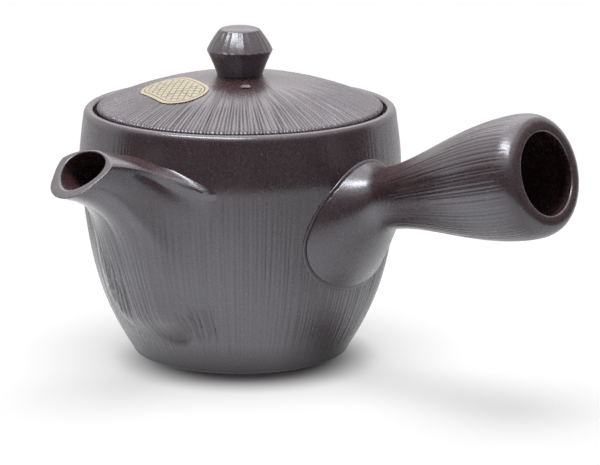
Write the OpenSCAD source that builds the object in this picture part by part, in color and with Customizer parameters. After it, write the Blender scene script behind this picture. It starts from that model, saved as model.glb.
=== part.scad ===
// Side-handled teapot of unglazed clay: a thrown pot with a blended spout, a hollow side handle,
// a perforated strainer behind the spout and an inset lid with a knob and a paper label.
// Millimetres. Z is up, the origin is the middle of the base, the handle points along X
// and the spout along minus Y.

/* [Pot] */
// Radius of the flat base, up to its rounded edge
base_radius = 36.4; // [33:0.1:38]
// Height of the rounding between the base and the side
base_edge = 1.5; // [1:0.1:3]
// Radius of the pot at its shoulder, where it is widest
shoulder_radius = 53.3; // [51:0.1:56]
// Height of the shoulder
shoulder_height = 64; // [60:0.5:67]
// Outer radius just under the rim
rim_radius = 51.7; // [50.5:0.1:52.5]
// Height of the rim
rim_height = 82; // [80:0.5:86]
// Height of the rounding on the outside of the rim
rim_rounding = 2.6; // [2:0.1:3.5]
// Thickness of the side wall, measured level
pot_wall = 3.6; // [3:0.1:4.5]
// Thickness of the floor
floor_thickness = 4.5; // [3.5:0.1:6]
// Radius of the shallow hollow under the base
foot_hollow_radius = 24; // [15:0.5:28]
// Depth of the shallow hollow under the base
foot_hollow_depth = 0.8; // [0.3:0.1:1.5]

/* [Lid] */
// Radius of the lid at its edge
lid_radius = 47.3; // [45.5:0.1:47.5]
// Gap between the edge of the lid and the wall of its seat
lid_edge_gap = 1; // [0.5:0.1:1.2]
// Depth of the seat below the rim
seat_depth = 4; // [3:0.1:5]
// Width of the ledge that carries the lid
ledge_width = 4.6; // [3.5:0.1:6]
// Height of the lid's visible edge above its seat
lid_edge_height = 4.2; // [3.2:0.1:5.2]
// Rise of the crown above the edge
crown_rise = 10.5; // [8:0.1:12]
// Fullness of the crown, where 2 is a plain arc
crown_power = 2; // [1.8:0.1:3]
// Thickness of the lid
lid_thickness = 4; // [3:0.1:5]
// Gap between the locating ring and the ledge
ring_gap = 0.6; // [0.3:0.1:1]
// Depth of the locating ring below the seat
ring_depth = 6.5; // [4:0.5:9]
// Thickness of the locating ring
ring_thickness = 3; // [2.5:0.1:4]
// Height that the lid's flat seat stands off the ledge
seat_gap = 0.1; // [0.05:0.05:0.3]
// Diameter of the steam hole
vent_diameter = 3; // [2:0.1:4]
// Width of the bevel round the steam hole
vent_bevel = 0.4; // [0.2:0.1:0.8]
// Distance of the steam hole from the middle of the lid
vent_distance = 17.5; // [14:0.5:21]
// Direction of the steam hole, in degrees from the handle
vent_angle = -43; // [-50:1:-38]

/* [Knob] */
// Radius of the knob where it stands on the lid
knob_foot_radius = 7.5; // [6.5:0.1:8.5]
// Radius of the knob at its sharp edge
knob_radius = 10.85; // [9.5:0.05:12]
// Height of the sharp edge above the lid
knob_edge_height = 7.9; // [7:0.1:9]
// Height of the whole knob above the lid
knob_height = 15.6; // [14:0.1:17.5]
// Radius of the top of the knob
knob_top_radius = 6.8; // [5.5:0.1:7.5]

/* [Label] */
// Length of the paper label
label_length = 29.5; // [24:0.5:31]
// Width of the paper label
label_width = 17; // [13:0.5:17.5]
// Thickness of the paper
label_thickness = 0.2; // [0.15:0.05:0.4]
// Distance of the label's middle from the middle of the lid
label_distance = 24.5; // [22.5:0.5:26.5]
// Direction of the label's middle, in degrees from the handle
label_angle = -110; // [-130:1:-95]
// Direction of the label's long side, in degrees from the handle
label_turn = -24; // [-40:1:-10]

/* [Spout] */
// Reach of the mouth's middle beyond the shoulder of the pot
spout_reach = 23.7; // [22:0.1:26.5]
// Height of the mouth's middle above the shoulder
mouth_rise = 8.8; // [7.8:0.1:9.8]
// Tilt of the mouth, in degrees from upright
mouth_tilt = 53; // [48:1:56]
// Half the width of the pouring hole
mouth_hole_width = 7.5; // [6.5:0.1:7.7]
// Half the length of the pouring hole
mouth_hole_length = 8.1; // [7:0.1:8.2]
// Radius of the mouth's rim without its lip and corners
mouth_rim_radius = 9.1; // [9:0.1:10]
// Length of the pouring lip beyond the round of the rim
lip_length = 2.7; // [1.5:0.1:3.5]
// Reach of the mouth's corners, where the wings start
mouth_corner = 2.1; // [1.2:0.1:2.4]
// Half the width of the spout's root on the pot, in degrees
wing_angle = 32.3; // [28:0.1:36]
// Height of the root over the middle of the spout, above the shoulder
roof_rise = 9.5; // [8.5:0.1:10.5]
// Drop of the pointed ends of the wings below the shoulder
wing_tip_drop = 0.3; // [0:0.1:3]
// Height at which the sides of the root start to draw in
root_side_height = 26; // [22:0.5:32]
// Height of the lowest point of the root
root_bottom_height = 8.3; // [7:0.1:12]
// Slope of the tube of the spout, in degrees
tube_slope = 15; // [12:0.5:18]
// Step between the lowest point of the root and the pot
root_step = 1.6; // [0.8:0.1:2]
// Swelling of the apron below the tube
apron_swell = 3.3; // [1.5:0.1:4]
// Height of the crest drawn up along each wing
wing_crest = 0.8; // [0:0.1:1.2]

/* [Strainer] */
// Radius of the hole in the pot behind the spout
port_radius = 11; // [9.5:0.1:11.5]
// Drop of that hole's middle below the shoulder
port_drop = 8; // [7:0.1:9]
// Thickness of the strainer
strainer_thickness = 2.4; // [2:0.1:2.8]
// Length of the strainer's collar inside the wall
collar_length = 3.6; // [3:0.1:4]
// Diameter of each strainer hole
strainer_hole = 1.8; // [1.2:0.1:2]
// Angle between the rings of strainer holes, in degrees
strainer_pitch = 17; // [15:0.5:19]
// Number of rings of strainer holes
strainer_rings = 4; // [2:1:4]

/* [Handle] */
// Height at which the handle's line meets the axis of the pot
handle_height = 42.5; // [40:0.5:45]
// Rise of the handle, in degrees
handle_rise = 15.2; // [12:0.1:18]
// Length of the handle beyond the shoulder, along the handle
handle_length = 74.1; // [70:0.1:82]
// Radius of the handle at its waist
waist_radius = 10.1; // [9:0.1:12]
// Distance of the waist beyond the shoulder, along the handle
waist_offset = 12.7; // [11:0.1:15]
// Radius of the flared foot at its start
foot_radius = 29.1; // [27:0.1:31]
// Depth at which the flared foot starts inside the shoulder, along the handle
foot_depth = 13.3; // [12.5:0.1:15]
// Radius of the handle at its fullest
grip_radius = 19.5; // [18:0.1:21]
// Radius of the open end of the handle
handle_mouth_radius = 12.9; // [11.5:0.1:13.5]
// Thickness of the handle's wall
handle_wall = 4.2; // [3.5:0.1:5]

/* [Joints] */
// Thickness of the slip line where two clay pieces are joined
slip = 0.05; // [0.03:0.01:0.1]

/* [Hidden] */
$fn = 96;

clay = [0.25, 0.2, 0.19];
dark_clay = [0.2, 0.16, 0.155];
gold_paper = [0.83, 0.76, 0.55];

// Curve helpers

// Point at share t of the curve that a list of control points draws
function bezier(p, t) =
    len(p) == 1 ? p[0] : bezier([for (i = [0:len(p) - 2]) p[i] * (1 - t) + p[i + 1] * t], t);

// Points along such a curve, in count steps, without its first point if skip is 1
function curve(p, count, skip = 0) = [for (i = [skip:count]) bezier(p, i / count)];

// The list in reverse order
function reversed(p) = [for (i = [len(p) - 1:-1:0]) p[i]];

// Value at share w of the way from a to b
function mixed(a, b, w) = a + (b - a) * w;

// Smooth step from 0 at low to 1 at high
function ramp(low, high, x) = let (t = min(1, max(0, (x - low) / (high - low)))) t * t * (3 - 2 * t);

// Every point of an outline moved out by d along its first coordinate
function widened(p, d) = [for (q = p) [q[0] + d, q[1]]];

// Pot

side_steps = 24;
rim_steps = 8;
// Slopes of the side, as reach out and reach up from its two ends
side_foot_reach = [11.8, 18.5];
side_shoulder_reach = [2.6, 30];
band_reach = 4;
rim_softness = 0.2;
rim_inside_rounding = 1.4;
// Width and height of the bend between the floor and the wall inside, and how full it is
floor_bend_width = 14;
floor_bend_rise = 9;
floor_bend_reach = 10.5;
band_top = rim_height - rim_rounding;
seat_radius = lid_radius + lid_edge_gap;
ledge_height = rim_height - seat_depth;
ledge_radius = seat_radius - ledge_width;
// Slope of the clay under the ledge, as drop over width
ledge_drop = 2.5;
ledge_slope = 1.6;

foot_point = [base_radius, base_edge];
shoulder_point = [shoulder_radius, shoulder_height];
rim_top = [(rim_radius + seat_radius) / 2, rim_height];

// Outside of the pot from the edge of the base to the start of the rim's rounding
side_line = concat(
    curve([foot_point, foot_point + side_foot_reach, shoulder_point - side_shoulder_reach, shoulder_point],
        side_steps),
    curve([shoulder_point, shoulder_point + [0, band_reach], [rim_radius, band_top]], rim_steps, 1));

base_line = curve([[base_radius - base_edge, 0], [base_radius - base_edge / 3, 0], foot_point],
    rim_steps / 2);
rim_corner = [rim_radius - rim_softness, rim_height - rim_softness];
rim_line = curve([[rim_radius, band_top], rim_corner, rim_top], rim_steps, 1);
rim_inside = curve([rim_top, [seat_radius, rim_height], [seat_radius, rim_height - rim_inside_rounding]],
    rim_steps / 2, 1);

// Radius of the outside of the pot at height z
heights = [for (q = side_line) [q[1], q[0]]];
function pot_radius(z) = lookup(z, heights);

floor_height = foot_hollow_depth + floor_thickness;
floor_bend_height = floor_height + floor_bend_rise;
floor_bend_radius = pot_radius(floor_bend_height) - pot_wall;
ledge_foot_height = ledge_height - ledge_drop - ledge_width * ledge_slope;

inside_line = concat(
    [[0, floor_height]],
    curve([[floor_bend_radius - floor_bend_width, floor_height],
        [floor_bend_radius - floor_bend_width + floor_bend_reach, floor_height],
        [floor_bend_radius, floor_bend_height]], rim_steps),
    [for (q = side_line)
        if (q[1] > floor_bend_height + 1 && q[1] < ledge_foot_height) [q[0] - pot_wall, q[1]]],
    [[ledge_radius, ledge_height - ledge_drop],
        [ledge_radius, ledge_height],
        [seat_radius, ledge_height]]);

foot_hollow_slope = 2;
foot_hollow_line = [[0, foot_hollow_depth],
    [foot_hollow_radius - foot_hollow_slope, foot_hollow_depth],
    [foot_hollow_radius, 0]];

pot_outline = concat(foot_hollow_line, base_line,
    [for (i = [1:len(side_line) - 1]) side_line[i]], rim_line, rim_inside, reversed(inside_line));

// Everything inside the pot's outer surface, for cutting the pieces that sit on it
module pot_fill(gap) {
    fill_top = 1.5 * rim_height;
    rotate_extrude()
        polygon(concat([[0, base_edge]], widened(side_line, gap),
            [[rim_radius + gap, fill_top], [0, fill_top]]));
}

// The strainer's dome keeps this far below the lid's locating ring
strainer_headroom = 2;
lid_ring_bottom = ledge_height + seat_gap - ring_depth;
port_height = min(shoulder_height - port_drop, lid_ring_bottom - strainer_headroom - port_radius);

module port_bore() {
    translate([0, 0, port_height])
        rotate([90, 0, 0])
            cylinder(r = port_radius, h = 1.2 * shoulder_radius);
}

module pot_body() {
    color(clay)
        difference() {
            rotate_extrude()
                polygon(pot_outline);
            port_bore();
        }
}

// Lid

lid_steps = 22;
lid_seat_height = ledge_height + seat_gap;
lid_edge_top = lid_seat_height + lid_edge_height;
lid_edge_rounding = 0.6;
lid_ring_radius = ledge_radius - ring_gap;
lid_ring_inside = lid_ring_radius - ring_thickness;

// Height of the lid's upper surface at distance r from its middle
function crown(r) = lid_edge_top + crown_rise * (1 - pow(r / lid_radius, crown_power));

lid_top_line = [for (i = [0:lid_steps])
    let (r = (lid_radius - lid_edge_rounding) * i / lid_steps) [r, crown(r)]];
lid_under_line = [for (i = [0:lid_steps])
    let (r = lid_ring_inside * i / lid_steps) [r, crown(r) - lid_thickness]];
lid_edge_line = [[lid_radius, lid_edge_top - lid_edge_rounding],
    [lid_radius, lid_seat_height],
    [lid_ring_radius, lid_seat_height],
    [lid_ring_radius, lid_ring_bottom],
    [lid_ring_inside, lid_ring_bottom]];

module lid() {
    color(clay)
        difference() {
            rotate_extrude()
                polygon(concat(lid_top_line, lid_edge_line, reversed(lid_under_line)));
            rotate(vent_angle)
                steam_hole();
        }
}

module steam_hole() {
    translate([vent_distance, 0, lid_seat_height])
        cylinder(d = vent_diameter, h = 2 * (lid_edge_height + crown_rise), $fn = 32);
    translate([vent_distance, 0, crown(vent_distance) - vent_bevel])
        cylinder(d1 = vent_diameter, d2 = vent_diameter + 4 * vent_bevel, h = 2 * vent_bevel, $fn = 32);
}

// Knob

knob_steps = 10;
knob_base = crown(0);
knob_edge = [knob_radius, knob_base + knob_edge_height];
knob_foot = [knob_foot_radius, crown(knob_foot_radius) + slip];
// Rise of the gently domed top above the knob's shoulder
knob_dome = 1.1;
// Slopes of the knob's outline where it leaves the foot, the edge and the shoulder
knob_foot_reach = [0.4, 1.8];
knob_edge_reach = [-0.7, 2];
knob_shoulder_reach = [1.3, -1.6];
knob_top_reach = [-1, 0.9];
knob_shoulder = [knob_top_radius, knob_base + knob_height - knob_dome];

knob_under_line = [for (i = [0:4]) let (r = knob_foot_radius * i / 4) [r, crown(r) + slip]];
knob_neck_line = curve([knob_foot, knob_foot + knob_foot_reach, knob_edge], knob_steps, 1);
knob_cone_line = curve([knob_edge, knob_edge + knob_edge_reach,
    knob_shoulder + knob_shoulder_reach, knob_shoulder], knob_steps, 1);
knob_top_line = curve([knob_shoulder, knob_shoulder + knob_top_reach,
    [knob_top_radius / 2, knob_base + knob_height], [0, knob_base + knob_height]], knob_steps, 1);

module lid_knob() {
    color(dark_clay)
        rotate_extrude()
            polygon(concat(knob_under_line, knob_neck_line, knob_cone_line, knob_top_line));
}

// Label

label_steps = 16;
label_end = label_width / 2;
label_reach = (label_length - label_width) / 2;

label_outline = concat(
    [for (i = [0:label_steps]) let (a = -90 + 180 * i / label_steps)
        [label_reach + label_end * cos(a), label_end * sin(a)]],
    [for (i = [0:label_steps]) let (a = 90 + 180 * i / label_steps)
        [label_end * cos(a) - label_reach, label_end * sin(a)]]);

// Skin over the crown from height low to height high above it
module crown_skin(low, high) {
    rotate_extrude()
        polygon(concat(
            [for (q = lid_top_line) q + [0, low]],
            [for (q = reversed(lid_top_line)) q + [0, high]]));
}

module lid_label() {
    color(gold_paper)
        intersection() {
            crown_skin(slip, slip + label_thickness);
            rotate(label_angle)
                translate([label_distance, 0, lid_edge_top])
                    rotate(label_turn - label_angle)
                        linear_extrude(2 * crown_rise)
                            polygon(label_outline);
        }
}

// Spout

low_ribs = 22;
top_ribs = 12;
half_ribs = low_ribs + top_ribs;
skin_steps = 26;
root_steps = 8;
passage_steps = 9;

mouth_distance = shoulder_radius + spout_reach;
mouth_height = shoulder_height + mouth_rise;
roof_height = shoulder_height + roof_rise;
wing_tip_height = shoulder_height - wing_tip_drop;
// Angle on the mouth at which the wings start
corner_angle = 20;
corner_spread = 50;
// How tightly the lip and the corners of the mouth are drawn out
lip_power = 2;
corner_power = 1.3;
// Reach of the tube from the mouth and of the root from the pot, at the wings and under the middle
wing_tube_reach = 17.6;
wing_root_reach = 15;
under_tube_reach = 35;
under_root_reach = 33.5;
roof_tube_reach = 8;
roof_root_reach = 4;
wing_step = 0.15;
// How fast the step falls away from the lowest point of the root to its sides
step_power = 1.3;
// Room for slip between the root and the pot, wider than the sag of the root's flat facets
root_gap = 0.12;
// Turn of the skin from upright at the lowest point of the root towards level at the wings
leave_turn = 83;
leave_power = 0.8;
// Upward lean of the roof where it meets the pot, at the wings and over the middle
wing_lean = 0.1;
roof_lean = 0.28;
// How much steeper the roof is than the tube
roof_extra_slope = 5;
// How sharply the wings fall to their ends
wing_fall = 1.6;
hole_fullness = 0.22;
// Spread of the crest around the mouth, in degrees, and shares of the way from the mouth to the pot
// at which it has started, stands full, starts to fall and has ended
crest_spread = 7;
crest_start = 0.2;
crest_full = 0.6;
crest_fall = 0.9;
crest_end = 1;
// Shares of the apron's half width at which its swelling starts to fall and ends
apron_flat = 0.3;
apron_end = 0.76;
// Height over which the swelling rises from the root, and height at which it starts to fade into the tube
apron_rise = 12;
apron_fade_height = 35;

// Place on the pot at angle a from the spout's middle, at height z, standing off by d
function on_pot(a, z, d) = let (r = pot_radius(z) + d) [r * sin(a), -r * cos(a), z];

// Place on the mouth's plane, side across it and rise up it from its middle
function on_mouth(side, rise) =
    [side, -mouth_distance + rise * sin(mouth_tilt), mouth_height + rise * cos(mouth_tilt)];

function rim_at(a) =
    mouth_rim_radius + (a < 0 ? lip_length * pow(-sin(a), lip_power) : 0)
    + mouth_corner * pow(max(0, 1 - abs(a - corner_angle) / corner_spread), corner_power);

function mouth_rim(a) = on_mouth(rim_at(a) * cos(a), rim_at(a) * sin(a));
// The hole is wider above its middle than below it
function mouth_hole(a) =
    on_mouth(mouth_hole_width * cos(a) * (1 + hole_fullness * sin(a)), mouth_hole_length * sin(a));

// Share of the way from the lowest rib to the wing, or from the wing to the roof's middle
function low_share(i) = i / low_ribs;
function top_share(i) = (i - low_ribs) / top_ribs;

// Angle of rib i around the mouth, from straight down to straight up
function rib_angle(i) =
    i <= low_ribs ? mixed(-90, corner_angle, low_share(i)) : mixed(corner_angle, 90, top_share(i));

// The root on the pot, as [angle, height]: a U below the wings and a falling line above them
function root_low(w) =
    w < 0.5
    ? [wing_angle * sin(180 * w), mixed(root_side_height, root_bottom_height, cos(180 * w))]
    : [wing_angle, mixed(root_side_height, wing_tip_height, 2 * w - 1)];
function root_top(w) =
    [wing_angle * (1 - w), roof_height - (roof_height - wing_tip_height) * pow(1 - w, wing_fall)];
function root_at(i) = i <= low_ribs ? root_low(low_share(i)) : root_top(top_share(i));

// Height of the step around the root, highest at its lowest point
function step_at(i) = wing_step + (root_step - wing_step) * pow(max(0, 1 - 2 * i / low_ribs), step_power);

// Direction in which the skin leaves the pot: up at the bottom, across at the wings, out over the roof
function slope_of_pot(z) = atan(pot_radius(z + 1) - pot_radius(z));
function up_pot(a, z) = let (s = slope_of_pot(z)) [sin(s) * sin(a), -sin(s) * cos(a), cos(s)];
function across_pot(a) = [-cos(a), -sin(a), 0];
function out_of_pot(a) = [sin(a), -cos(a), 0];
function low_leave(a, z, w) =
    let (turn = 90 - leave_turn * pow(w, leave_power))
    up_pot(a, z) * sin(turn) + across_pot(a) * cos(turn);
function top_leave(a, w) =
    across_pot(a) * cos(90 * w) + out_of_pot(a) * sin(90 * w) + [0, 0, mixed(wing_lean, roof_lean, w)];

// Straight into the spout from its mouth
tube_way = [0, cos(tube_slope), -sin(tube_slope)];
roof_way = [0, cos(tube_slope + roof_extra_slope), -sin(tube_slope + roof_extra_slope)];

// Control points of rib i of the skin, from the mouth to the pot
function skin_rib(i) =
    let (start = mouth_rim(rib_angle(i)),
        root = root_at(i),
        finish = on_pot(root[0], root[1], root_gap + step_at(i)),
        low = i <= low_ribs,
        w = low ? low_share(i) : top_share(i),
        tube = mixed(low ? under_tube_reach : wing_tube_reach, low ? wing_tube_reach : roof_tube_reach, w),
        reach = mixed(low ? under_root_reach : wing_root_reach, low ? wing_root_reach : roof_root_reach, w),
        way = low ? tube_way : mixed(tube_way, roof_way, w),
        leave = low ? low_leave(root[0], root[1], w) : top_leave(root[0], w))
    [start, start + tube * way, finish + reach * leave, finish];

// Swelling of the apron at angle a and height z: full over its middle, none at its edge and on the tube
function apron_width(z) =
    let (fall = max(0, (root_side_height - z) / (root_side_height - root_bottom_height)))
    wing_angle * sqrt(max(0.001, 1 - fall * fall));
function swell(a, z) =
    apron_swell * (1 - ramp(apron_flat, apron_end, abs(a) / apron_width(z)))
    * ramp(root_bottom_height, root_bottom_height + apron_rise, z)
    * (1 - ramp(apron_fade_height, wing_tip_height, z));
function swollen(p) =
    let (a = atan2(p[0], -p[1]), d = swell(a, p[2])) p + [d * sin(a), -d * cos(a), 0];

// The crest of the wings on rib i at share t of the way from the mouth to the pot
function crest(i, t) =
    wing_crest * exp(-abs(rib_angle(i) - corner_angle) / crest_spread)
    * ramp(crest_start, crest_full, t) * (1 - ramp(crest_fall, crest_end, t));
function skin_point(i, t) =
    let (p = swollen(bezier(skin_rib(i), t))) p + crest(i, t) * out_of_pot(atan2(p[0], -p[1]));

// Place on the edge of the hole in the pot, as [angle, height]
function port_at(a) =
    let (z = port_height + port_radius * sin(a)) [asin(port_radius * cos(a) / pot_radius(z)), z];

// Steepness of the passage at the pot and at the mouth, and reach of its curve from them: at the sides
// of the hole, and the change from there to its top
pot_rise = [52, -28];
mouth_fall = [20, 11];
pot_reach = [8.5, -2.5];
mouth_reach = [10.7, -4.7];

// Control points of rib i of the passage, from the pot to the mouth
function passage_rib(i) =
    let (a = rib_angle(i),
        port = port_at(a),
        start = on_pot(port[0], port[1], root_gap),
        finish = mouth_hole(a),
        place = [1, sin(a)],
        rise = pot_rise * place,
        fall = mouth_fall * place)
    [start,
        start + (pot_reach * place) * [0, -cos(rise), sin(rise)],
        finish + (mouth_reach * place) * [0, cos(fall), -sin(fall)],
        finish];

// One closed section of the spout's wall through rib i: skin, root and passage
function wall_section(i) =
    let (root = root_at(i), port = port_at(rib_angle(i)))
    concat(
        [for (k = [0:skin_steps]) skin_point(i, k / skin_steps)],
        [for (k = [0:root_steps - 1])
            let (q = mixed(root, port, k / root_steps)) on_pot(q[0], q[1], root_gap)],
        curve(passage_rib(i), passage_steps));

function mirrored(p) = [for (q = p) [-q[0], q[1], q[2]]];

ribs = 2 * half_ribs;
sections = [for (i = [0:ribs - 1]) i <= half_ribs ? wall_section(i) : mirrored(wall_section(ribs - i))];
section_points = len(sections[0]);

spout_faces = [for (i = [0:ribs - 1], k = [0:section_points - 1])
    let (a = i * section_points + k,
        b = i * section_points + (k + 1) % section_points,
        c = ((i + 1) % ribs) * section_points + (k + 1) % section_points,
        d = ((i + 1) % ribs) * section_points + k)
    each [[a, c, b], [a, d, c]]];

module spout() {
    color(clay)
        polyhedron([for (s = sections) each s], spout_faces);
}

// Strainer

strainer_radius = port_radius - slip;
strainer_inside = strainer_radius - strainer_thickness;
dome_steps = 14;
// The dome starts this far inside the wall, at the sides of the hole
dome_inset = 0.6;
dome_distance = sqrt(pow(pot_radius(port_height) - pot_wall, 2) - pow(port_radius, 2)) - dome_inset;
// Room that each strainer hole takes along its ring
strainer_room = 1.75 * strainer_hole;

function dome_arc(r) =
    [for (i = [0:dome_steps]) let (a = 90 * i / dome_steps) [r * cos(a), r * sin(a)]];

strainer_outline = concat(
    [[strainer_inside, -collar_length], [strainer_radius, -collar_length]],
    dome_arc(strainer_radius),
    reversed(dome_arc(strainer_inside)));

module strainer_holes() {
    cylinder(d = strainer_hole, h = strainer_radius + 1, $fn = 24);
    for (ring = [1:strainer_rings]) {
        tilt = ring * strainer_pitch;
        count = floor(360 * strainer_radius * sin(tilt) * PI / 180 / strainer_room);
        for (i = [0:count - 1])
            rotate([0, 0, 360 * (i + ring / 2) / count])
                rotate([0, tilt, 0])
                    translate([0, 0, strainer_inside / 2])
                        cylinder(d = strainer_hole, h = strainer_radius, $fn = 24);
    }
}

module strainer() {
    color(dark_clay)
        translate([0, -dome_distance, port_height])
            rotate([-90, 0, 0])
                difference() {
                    rotate_extrude()
                        polygon(strainer_outline);
                    strainer_holes();
                }
}

// Handle

handle_steps = 14;
lip_steps = 10;
handle_reach = shoulder_radius + handle_length;
waist_distance = shoulder_radius + waist_offset;
foot_distance = shoulder_radius - foot_depth;
// Distance from the end of the handle back to its fullest place
grip_setback = 8.4;
grip_distance = handle_reach - grip_setback;
// Slopes of the handle's outline at its foot, waist and grip, and over its lip
foot_reach = [-12.4, 16];
waist_foot_reach = [0, 6.5];
waist_grip_reach = [0.2, 14];
grip_waist_reach = [0, 20];
grip_lip_reach = [0, 5.5];
end_reach = [3.9, 0.3];
bore_reach = [0, 4];
// Rounding of the lip into the open end
end_rounding = [1.2, 0.9];
foot_point_out = [foot_radius, foot_distance];
waist_point = [waist_radius, waist_distance];
grip_point = [grip_radius, grip_distance];
end_point = [handle_mouth_radius + end_rounding[0], handle_reach];
mouth_point = [handle_mouth_radius, handle_reach - end_rounding[1]];
bore_point = [grip_radius - handle_wall, grip_distance];

handle_outside = concat(
    curve([foot_point_out, foot_point_out + foot_reach, waist_point - waist_foot_reach, waist_point],
        handle_steps),
    curve([waist_point, waist_point + waist_grip_reach, grip_point - grip_waist_reach, grip_point],
        handle_steps, 1));
handle_lip = concat(
    curve([grip_point, grip_point + grip_lip_reach, end_point + end_reach, end_point], lip_steps, 1),
    curve([end_point, [handle_mouth_radius, handle_reach], mouth_point], lip_steps / 2, 1),
    curve([mouth_point, mouth_point - bore_reach, bore_point + bore_reach, bore_point], lip_steps, 1));
handle_bore = [for (i = [len(handle_outside) - 2:-1:0]) handle_outside[i] - [handle_wall, 0]];

module handle() {
    color(clay)
        difference() {
            translate([0, 0, handle_height])
                rotate([0, 90 - handle_rise, 0])
                    rotate_extrude()
                        polygon(concat(handle_outside, handle_lip, handle_bore));
            pot_fill(slip);
        }
}

pot_body();
spout();
handle();
strainer();
lid();
lid_knob();
lid_label();
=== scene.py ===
"""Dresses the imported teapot: combed clay surfaces, a printed paper label and soft studio light."""
import math

import bmesh
import bpy
import numpy as np
from mathutils import Matrix, Vector


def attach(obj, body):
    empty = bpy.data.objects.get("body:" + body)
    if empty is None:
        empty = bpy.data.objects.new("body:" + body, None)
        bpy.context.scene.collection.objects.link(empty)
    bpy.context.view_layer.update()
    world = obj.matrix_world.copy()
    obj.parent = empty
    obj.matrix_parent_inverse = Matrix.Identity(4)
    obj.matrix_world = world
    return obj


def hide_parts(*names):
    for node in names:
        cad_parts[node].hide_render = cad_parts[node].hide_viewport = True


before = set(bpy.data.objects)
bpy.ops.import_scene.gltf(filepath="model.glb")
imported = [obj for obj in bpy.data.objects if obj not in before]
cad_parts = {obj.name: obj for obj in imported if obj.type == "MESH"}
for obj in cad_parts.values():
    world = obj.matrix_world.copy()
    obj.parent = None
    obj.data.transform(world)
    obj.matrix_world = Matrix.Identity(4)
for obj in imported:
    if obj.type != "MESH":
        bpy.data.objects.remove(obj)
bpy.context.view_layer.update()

MM = 0.001
RANDOM = np.random.default_rng(11)
LINE_FADE = 6.0
MAX_CORNER_SHARE = 0.45
COARSER_INSIDE = 5

# Sizes in millimetres, as in the solids that the pieces stand for
BASE_RADIUS = 36.4
BASE_EDGE = 1.5
SHOULDER = np.array([53.3, 64.0])
RIM_RADIUS = 51.7
RIM_HEIGHT = 82.0
RIM_ROUNDING = 2.6
RIM_SOFTNESS = 0.2
RIM_INSIDE_ROUNDING = 1.4
POT_WALL = 3.6
FLOOR_HEIGHT = 5.3
FOOT_HOLLOW_RADIUS = 24.0
FOOT_HOLLOW_DEPTH = 0.8
FOOT_HOLLOW_SLOPE = 2.0
SIDE_FOOT_REACH = np.array([11.8, 18.5])
SIDE_SHOULDER_REACH = np.array([2.6, 30.0])
BAND_REACH = np.array([0.0, 4.0])
BAND_TOP = RIM_HEIGHT - RIM_ROUNDING
SEAT_RADIUS = 48.3
LEDGE_HEIGHT = 78.0
LEDGE_RADIUS = 43.7
LEDGE_DROP = 2.5
LEDGE_SLOPE = 1.6
FLOOR_BEND_WIDTH = 14.0
FLOOR_BEND_RISE = 9.0
FLOOR_BEND_REACH = 10.5
PORT_RADIUS = 11.0
PORT_HEIGHT = 56.0

LID_RADIUS = 47.3
LID_SEAT = 78.1
LID_EDGE_TOP = 82.3
LID_EDGE_ROUNDING = 0.8
CROWN_RISE = 10.5
CROWN_POWER = 2.0
LID_THICKNESS = 4.0
LID_RING_RADIUS = 43.1
LID_RING_INSIDE = 40.1
LID_RING_DEPTH = 6.5
VENT_RADIUS = 1.5
VENT_BEVEL = 0.4
VENT_DISTANCE = 17.5
VENT_ANGLE = math.radians(-43)

KNOB_FOOT_RADIUS = 7.5
KNOB_RADIUS = 10.85
KNOB_EDGE_HEIGHT = 7.9
KNOB_HEIGHT = 15.6
KNOB_TOP_RADIUS = 6.8
KNOB_DOME = 1.1

LABEL_LENGTH = 29.5
LABEL_WIDTH = 17.0
LABEL_THICKNESS = 0.2
LABEL_DISTANCE = 24.5
LABEL_ANGLE = math.radians(-110)
LABEL_TURN = math.radians(-24)
SLIP = 0.05

MOUTH_DISTANCE = 77.0
MOUTH_HEIGHT = 72.8
MOUTH_TILT = math.radians(53)
HOLE_WIDTH = 7.5
HOLE_LENGTH = 8.1
HOLE_FULLNESS = 0.22
MOUTH_RIM_RADIUS = 9.1
LIP_LENGTH = 2.7
LIP_POWER = 2.0
MOUTH_CORNER = 2.1
CORNER_ANGLE = 20.0
CORNER_SPREAD = 50.0
CORNER_POWER = 1.3
WING_ANGLE = 32.3
ROOF_HEIGHT = 73.5
WING_TIP_HEIGHT = 63.7
WING_FALL = 1.6
ROOT_SIDE_HEIGHT = 26.0
ROOT_BOTTOM_HEIGHT = 8.3
TUBE_SLOPE = math.radians(15)
ROOF_SLOPE = math.radians(20)
ROOT_STEP = 1.6
WING_STEP = 0.15
STEP_POWER = 1.3
ROOT_GAP = 0.12
WING_CREST = 0.8
CREST_SPREAD = 7.0
UNDER_REACH = np.array([35.0, 33.5])
WING_REACH = np.array([17.6, 15.0])
ROOF_REACH = np.array([8.0, 4.0])
LEAVE_TURN = 83.0
LEAVE_POWER = 0.8
WING_LEAN = 0.1
ROOF_LEAN = 0.28
APRON_SWELL = 3.3
APRON_FLAT = 0.3
APRON_END = 0.76
APRON_RISE = 12.0
APRON_FADE_HEIGHT = 35.0
POT_RISE = (52.0, -28.0)
MOUTH_FALL = (20.0, 11.0)
POT_PASSAGE_REACH = (8.5, -2.5)
MOUTH_PASSAGE_REACH = (10.7, -4.7)

HANDLE_HEIGHT = 42.5
HANDLE_RISE = math.radians(15.2)
HANDLE_WALL = 4.2
HANDLE_FOOT = np.array([29.1, 40.0])
HANDLE_WAIST = np.array([10.1, 66.0])
HANDLE_GRIP = np.array([19.5, 119.0])
HANDLE_END = np.array([14.1, 127.4])
HANDLE_MOUTH = np.array([12.9, 126.5])


# Curves and fields

def bezier(points, t):
    """Points at the shares t of the curve that a list of control points draws."""
    t = np.asarray(t, float)[..., None]
    layer = [np.asarray(point, float) for point in points]
    while len(layer) > 1:
        layer = [a * (1 - t) + b * t for a, b in zip(layer, layer[1:])]
    return layer[0]


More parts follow.
